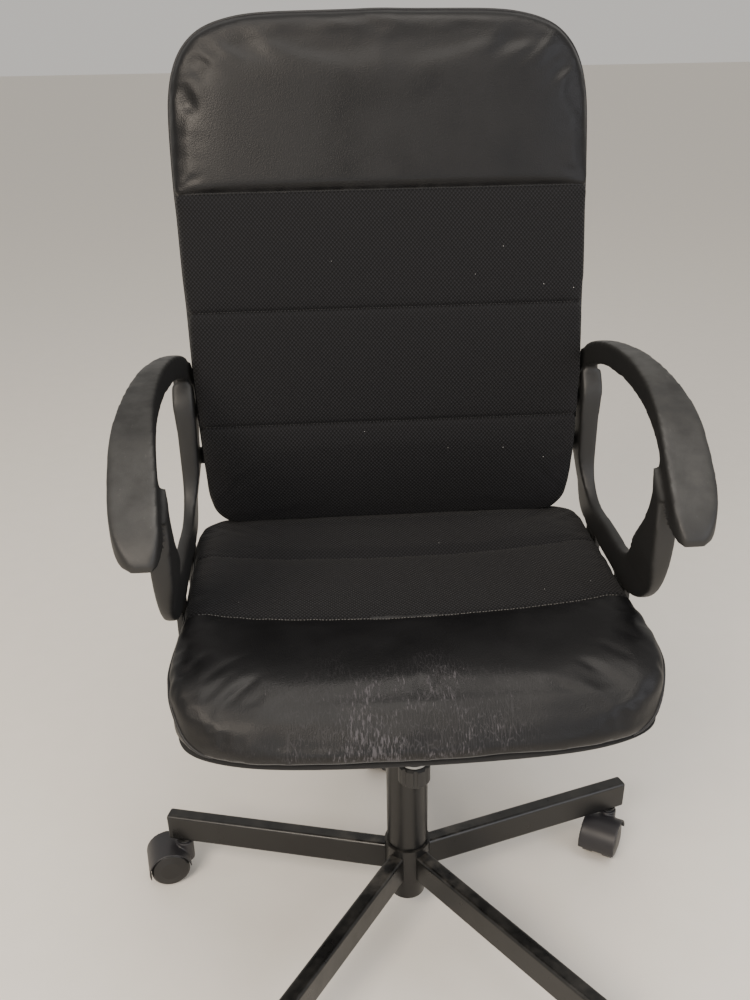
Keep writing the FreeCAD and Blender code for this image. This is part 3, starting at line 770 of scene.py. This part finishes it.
# ---------------------------------------------------------------- operators
class CHAIR_OT_back(bpy.types.Operator):
    """Padded back: headrest panel, three sewn channels of mesh and the cloth behind"""

    bl_idname = "chair.back"
    bl_label = "Back pad"

    def execute(self, context):
        soft = settings("chair_upholstery")
        bm = padding("back_cushion", soft.voxel, 14)
        # the pad's rear closes over the board behind the foam
        for vert in bm.verts:
            depth = straightened(vert.co).y
            vert.co.y += 13.5 * MM * smooth_step(0.026, 0.034, depth)
            vert.co.z -= 7 * MM * (1 - smooth_step(0.475, 0.53, vert.co.z))
        pad = new_piece("back_pad", bm, "seat")

        def held(co):
            flat = straightened(co)
            rear = smooth_step(0.03, 0.038, flat.y)
            cord = 0.85 * (1 - smooth_step(0.002, 0.009, abs(flat.y - BACK_CORD_DEPTH)))
            seam = near_seam(co.z, BACK_SEAMS, 6 * MM) if flat.y < 0.02 else 0.0
            return max(rear, cord, seam)

        def crown(co):
            stretch = panel_crown(co.z, BACK_SEAMS, BACK_LOW.z, BACK_HIGH.z)
            edge = smooth_step(0.0, 0.07, from_back_edge(co))
            return soft.channel_puff * (0.45 + 0.55 * edge) * (0.3 + 0.7 * stretch)

        swell(pad, held, 4.0, crown)
        refine(pad)

        planes = []
        for height in BACK_SEAMS:
            y = between(BACK_FACE, height)
            lean = (between(BACK_FACE, height + 0.01) - between(BACK_FACE, height - 0.01)) / 0.02
            normal = Vector((0, lean, 1)).normalized()
            for off in (-5.5 * MM, -1.6 * MM, 0.0, 1.6 * MM, 5.5 * MM):
                planes.append((Vector((0, y, height)) + normal * off, normal))
        cut_across(pad.data, planes)

        def groove(co, normal):
            flat = straightened(co)
            front = 1 - smooth_step(0.012, BACK_CORD_DEPTH, flat.y)
            deep = 0.0
            for height in BACK_SEAMS:
                y = between(BACK_FACE, height)
                off = abs(co.z - height + 0.3 * (co.y - y)) if abs(co.z - height) < 0.02 else 1.0
                deep = max(deep, seam_profile(off, 2.6 * MM, 0.35))
            gather = noise.noise(Vector((co.x * 90, co.z * 18, 3.7))) * deep * 0.8 * MM
            edge = from_back_edge(co)
            rim = (1 - smooth_step(0.012, 0.05, edge)) * smooth_step(0.0, 0.012, edge)
            tuck = noise.noise(Vector((co.x * 30, co.z * 75, 9.1))) * 1.2 * MM * rim * smooth_step(0.8, 0.9, co.z)
            return co + normal * front * (gather + tuck - deep * soft.seam_depth * 0.72)

        shift_points(pad.data, groove)

        def choose(centre, normal):
            flat = straightened(centre)
            if flat.y > 0.044:
                return 2
            if flat.y > BACK_CORD_DEPTH:
                return 3
            y = between(BACK_FACE, HEADREST_SEAM)
            return 0 if centre.z - HEADREST_SEAM + 0.3 * (centre.y - y) > 0 else 1

        paint_faces(
            pad.data,
            (MATERIALS["leather"], MATERIALS["back_mesh"], MATERIALS["lining"], MATERIALS["cord"]),
            choose,
        )
        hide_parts("back_cushion", "back_rear_cover")
        self.edge_cord(pad, soft)
        self.seam_threads(pad)
        return {"FINISHED"}

    def edge_cord(self, pad, soft):
        tree = surface_tree(pad.data, straightened)
        points = []
        for point, normal in zip(BACK_OUTLINE, outward(BACK_OUTLINE, AXIS_Y)):
            start = Vector((point.x, BACK_CORD_DEPTH, point.z)) + normal * 0.05
            place = tree.ray_cast(start, -normal)[0]
            points.append(curved(place + normal * soft.piping_radius * 0.25))
        for _ in range(4):
            triples = zip(points[-1:] + points, points, points[1:] + points[:1])
            points = [(a + b * 2 + c) / 4 for a, b, c in triples]
        cord = tube("back_edge_cord", points, soft.piping_radius, "seat", cyclic=True)
        cord.data.materials.append(MATERIALS["cord"])

    def seam_threads(self, pad):
        tree = surface_tree(pad.data)
        for number, height in enumerate(BACK_SEAMS):
            points, lifts = [], []
            for i in range(481):
                x = -0.226 + 0.452 * i / 480
                place, normal, _, _ = tree.ray_cast(Vector((x, 0, height)), AXIS_Y)
                points.append(place)
                lifts.append(normal)
            stitches(
                "back_seam_stitches_%d" % (number + 1), points, lifts, 2.6 * MM, 0.45 * MM, 3.6 * MM,
                "seat", MATERIALS["dark_thread"],
            )


class CHAIR_OT_seat(bpy.types.Operator):
    """Padded seat: two mesh panels behind, a coated front panel that rolls over the edge, and its seams"""

    bl_idname = "chair.seat"
    bl_label = "Seat pad"

    def execute(self, context):
        soft = settings("chair_upholstery")
        bm = padding("seat_cushion", soft.voxel, 16)
        for vert in bm.verts:
            x, y, z = vert.co
            dish = max(0.0, 1 - (x / 0.215) ** 2) * max(0.0, 1 - ((y - 0.005) / 0.18) ** 2)
            vert.co.z -= SEAT_DISH * dish ** 0.8 * smooth_step(0.415, 0.45, z)
        pad = new_piece("seat_pad", bm, "seat")

        def held(co):
            base = 1 - smooth_step(0.402, 0.416, co.z)
            seam = near_seam(co.y, SEAT_SEAMS, 6 * MM) if co.z > 0.43 else 0.0
            side = side_seam_height(co.y)
            edge = from_seat_edge(co)
            beside = edge < 0.02 and co.y > -0.19
            cord = 0.8 * (1 - smooth_step(0.002, 0.008, abs(co.z - side))) if beside else 0.0
            return max(base, seam, cord)

        def crown(co):
            stretch = panel_crown(co.y, SEAT_SEAMS, SEAT_LOW.y, SEAT_HIGH.y)
            return soft.channel_puff * 0.7 * (0.5 + 0.5 * stretch)

        swell(pad, held, 4.0, crown)
        refine(pad)
        planes = [
            (Vector((0, seam + off, 0)), AXIS_Y)
            for seam in SEAT_SEAMS
            for off in (-5.5 * MM, -1.6 * MM, 0.0, 1.6 * MM, 5.5 * MM)
        ]
        cut_across(pad.data, planes)

        def groove(co, normal):
            top = smooth_step(0.425, 0.445, co.z) * smooth_step(0.1, 0.5, normal.z)
            deep = 0.0
            for seam in SEAT_SEAMS:
                off = abs(co.y - seam)
                deep = max(deep, seam_profile(off, 2.4 * MM, 0.3))
            edge = from_seat_edge(co)
            side = 1 - smooth_step(0.012, 0.05, edge)
            tuck = noise.noise(Vector((co.x * 22, co.y * 62, co.z * 30))) * 1.4 * MM * side
            broad = noise.noise(Vector((co.x * 9, co.y * 11, 5.0))) * 1.6 * MM * smooth_step(0.42, 0.44, co.z)
            gather = noise.noise(Vector((co.x * 85, co.y * 16, 1.3))) * deep * 0.8 * MM
            return co + normal * (top * (gather - deep * soft.seam_depth * 0.45) + tuck + broad)

        shift_points(pad.data, groove)

        def choose(centre, normal):
            if centre.z < 0.402 and normal.z < -0.4:
                return 2
            above = centre.z > side_seam_height(centre.y)
            return 1 if centre.y > SEAT_FRONT_SEAM and above else 0

        paint_faces(
            pad.data, (MATERIALS["worn_leather"], MATERIALS["seat_mesh"], MATERIALS["lining"]), choose
        )
        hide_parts("seat_cushion")
        self.side_cord(pad, soft)
        self.seam_threads(pad)
        return {"FINISHED"}

    def side_cord(self, pad, soft):
        tree = surface_tree(pad.data)
        rows = []
        for point, normal in zip(SEAT_OUTLINE, outward(SEAT_OUTLINE, AXIS_Z)):
            if point.y < -0.188:
                rows.append(None)
                continue
            start = Vector((point.x, point.y, side_seam_height(point.y))) + normal * 0.05
            place = tree.ray_cast(start, -normal)[0]
            rows.append(place + normal * soft.piping_radius * 0.2)
        gap = rows.index(None)
        rows = rows[gap:] + rows[:gap]
        points = [p for p in rows if p is not None]
        for _ in range(2):
            middle = [(a + b * 2 + c) / 4 for a, b, c in zip(points, points[1:], points[2:])]
            points = [points[0], *middle, points[-1]]
        cord = tube("seat_side_cord", points, soft.piping_radius * 0.85, "seat")
        cord.data.materials.append(MATERIALS["cord"])

    def seam_threads(self, pad):
        tree = surface_tree(pad.data)
        for number, (seam, thread) in enumerate(zip(SEAT_SEAMS, ("thread", "dark_thread"))):
            points, lifts = [], []
            for i in range(481):
                x = -0.228 + 0.456 * i / 480
                place, normal, _, _ = tree.ray_cast(Vector((x, seam + 0.0004, 0.6)), -AXIS_Z)
                points.append(place)
                lifts.append(normal)
            stitches(
                "seat_seam_stitches_%d" % (number + 1), points, lifts, 2.5 * MM, 0.42 * MM, 3.4 * MM,
                "seat", MATERIALS[thread],
            )


class CHAIR_OT_armrests(bpy.types.Operator):
    """Two moulded armrest loops with softened edges"""

    bl_idname = "chair.armrests"
    bl_label = "Armrests"

    def execute(self, context):
        hard = settings("chair_mouldings")
        for side in ("left", "right"):
            node = "armrest_" + side
            bm = padding(node, hard.arm_voxel, 2)
            # the flat foot tabs and the lugs behind the back keep their thickness
            loop = [v for v in bm.verts if v.co.z > 0.458 and abs(v.co.x) > 0.2345]
            relax(bm, loop, 12)
            piece = new_piece(node + "_moulding", bm, "seat")
            piece.data.materials.append(MATERIALS["arm"])
            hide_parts(node)
        return {"FINISHED"}


class CHAIR_OT_castor_hoods(bpy.types.Operator):
    """Five castor hoods with softened edges"""

    bl_idname = "chair.castor_hoods"
    bl_label = "Castor hoods"

    def execute(self, context):
        for number in CASTORS:
            node = "castor_hood_%d" % number
            bm = padding(node, 1.1 * MM, 4)
            piece = new_piece(node + "_moulding", bm, "castor_%d" % number)
            piece.data.materials.append(MATERIALS["hood"])
            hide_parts(node)
        return {"FINISHED"}


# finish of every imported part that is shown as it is
FINISHES = {
    "steel": ("column_tube", "gas_cylinder", "base_hub", "base_leg_", "mechanism_housing", "seat_plate"),
    "black_nylon": ("leg_end_caps", "castor_sockets", "guide_bush", "lever_grip", "tension_knob"),
    "wheel": ("castor_wheel_",),
    "zinc": (
        "thrust_bearing", "column_clip", "release_pin", "tilt_axle", "tension_bolt", "spring_washer",
        "lever_bracket", "height_lever", "seat_plate_bolts", "arm_bolts", "castor_stem_", "castor_axle_",
    ),
    "ground": ("piston_rod",),
    "spring": ("tilt_spring",),
    "wood": ("back_board",),
    # the lining is pulled round the rim of the seat's board and stapled under it
    "lining": ("seat_dust_cover", "seat_board"),
}


class CHAIR_OT_finishes(bpy.types.Operator):
    """Finishes of the steel, nylon and wooden parts that are shown as packed"""

    bl_idname = "chair.finishes"
    bl_label = "Steel, nylon and wood"

    def execute(self, context):
        for finish, starts in FINISHES.items():
            for name, node in NODES.items():
                if name.startswith(starts):
                    node.data.materials.clear()
                    node.data.materials.append(MATERIALS[finish])
        bare = [
            name for name, node in NODES.items()
            if not node.hide_render and not any(name.startswith(s) for s in FINISHES.values())
        ]
        if bare:
            raise RuntimeError("no finish for " + ", ".join(bare))
        return {"FINISHED"}


class CHAIR_OT_materials(bpy.types.Operator):
    """Makes the fabrics, plastics, metals and wood"""

    bl_idname = "chair.materials"
    bl_label = "Materials"

    def execute(self, context):
        make_materials()
        return {"FINISHED"}


class CHAIR_OT_stage(bpy.types.Operator):
    """Plain pale floor, soft lights and the camera"""

    bl_idname = "chair.stage"
    bl_label = "Stage"

    def execute(self, context):
        self.room()
        self.lights(context)
        self.camera(context)
        return {"FINISHED"}

    def room(self):
        bm = bmesh.new()
        bmesh.ops.create_grid(bm, x_segments=2, y_segments=2, size=FLOOR_REACH)
        mesh = bpy.data.meshes.new("studio_floor")
        bm.to_mesh(mesh)
        bm.free()
        surface = bpy.data.objects.new("studio_floor", mesh)
        bpy.context.scene.collection.objects.link(surface)
        paint = even_finish("Pale floor paint", "#e6e1d8", "#ebe6de", (0.75, 0.85), 3.0, 0.05)
        mesh.materials.append(paint)

    def lights(self, context):
        for name, place, target, size, power, warmth in (
            ("key", (-1.3, -1.9, 2.3), (0, 0, 0.7), 1.2, 80, "#fff1e0"),
            ("fill", (1.9, -1.6, 1.4), (0, 0, 0.6), 1.8, 26, "#f4f6ff"),
            ("top", (0.2, -0.4, 2.6), (0, 0.0, 0.5), 1.4, 30, "#fff8ef"),
            ("low", (-0.2, -2.4, 0.5), (0, 0, 0.3), 1.4, 12, "#ffffff"),
        ):
            data = bpy.data.lights.new(name, "AREA")
            data.size = size
            data.energy = power
            data.color = linear(warmth)[:3]
            lamp = bpy.data.objects.new(name, data)
            lamp.location = place
            lamp.rotation_euler = (Vector(target) - Vector(place)).to_track_quat("-Z", "Y").to_euler()
            context.scene.collection.objects.link(lamp)
        world = bpy.data.worlds.new("Soft room")
        world.use_nodes = True
        sky = world.node_tree.nodes["Background"]
        sky.inputs["Color"].default_value = linear("#f3efe9")
        sky.inputs["Strength"].default_value = 0.7
        context.scene.world = world

    def camera(self, context):
        yaw, pitch, roll = (math.radians(a) for a in (-3.62, 24.6, -1.0))
        forward = Vector((-math.sin(yaw) * math.cos(pitch), math.cos(yaw) * math.cos(pitch), -math.sin(pitch)))
        level = Vector((math.cos(yaw), math.sin(yaw), 0))
        above = level.cross(forward)
        right = level * math.cos(roll) + above * math.sin(roll)
        up = above * math.cos(roll) - level * math.sin(roll)
        data = bpy.data.cameras.new("Camera")
        data.sensor_width = 36.0
        data.lens = 37.08
        camera = bpy.data.objects.new("Camera", data)
        turn = Matrix((right, up, -forward)).transposed().to_4x4()
        camera.matrix_world = Matrix.Translation((-0.0953, -0.9862, 1.0308)) @ turn
        context.scene.collection.objects.link(camera)
        context.scene.camera = camera


OPERATORS = (
    CHAIR_OT_stage,
    CHAIR_OT_materials,
    CHAIR_OT_back,
    CHAIR_OT_seat,
    CHAIR_OT_armrests,
    CHAIR_OT_castor_hoods,
    CHAIR_OT_finishes,
)


class CHAIR_PT_panel(bpy.types.Panel):
    """The chair's sizes, colours and pieces"""

    bl_idname = "CHAIR_PT_panel"
    bl_label = "Swivel office chair"
    bl_space_type = "VIEW_3D"
    bl_region_type = "UI"
    bl_category = "Chair"

    def draw(self, context):
        for group in (context.scene.chair_upholstery, context.scene.chair_mouldings):
            for name in group.__annotations__:
                self.layout.prop(group, name)
        for operator in OPERATORS:
            self.layout.operator(operator.bl_idname)


CLASSES = (ChairUpholstery, ChairMouldings, *OPERATORS, CHAIR_PT_panel)


def register():
    for item in CLASSES:
        bpy.utils.register_class(item)
    bpy.types.Scene.chair_upholstery = bpy.props.PointerProperty(type=ChairUpholstery)
    bpy.types.Scene.chair_mouldings = bpy.props.PointerProperty(type=ChairMouldings)


def unregister():
    del bpy.types.Scene.chair_mouldings
    del bpy.types.Scene.chair_upholstery
    for item in reversed(CLASSES):
        bpy.utils.unregister_class(item)


def main():
    register()
    for operator in OPERATORS:
        group, name = operator.bl_idname.split(".")
        getattr(getattr(bpy.ops, group), name)()


if __name__ == "__main__":
    main()
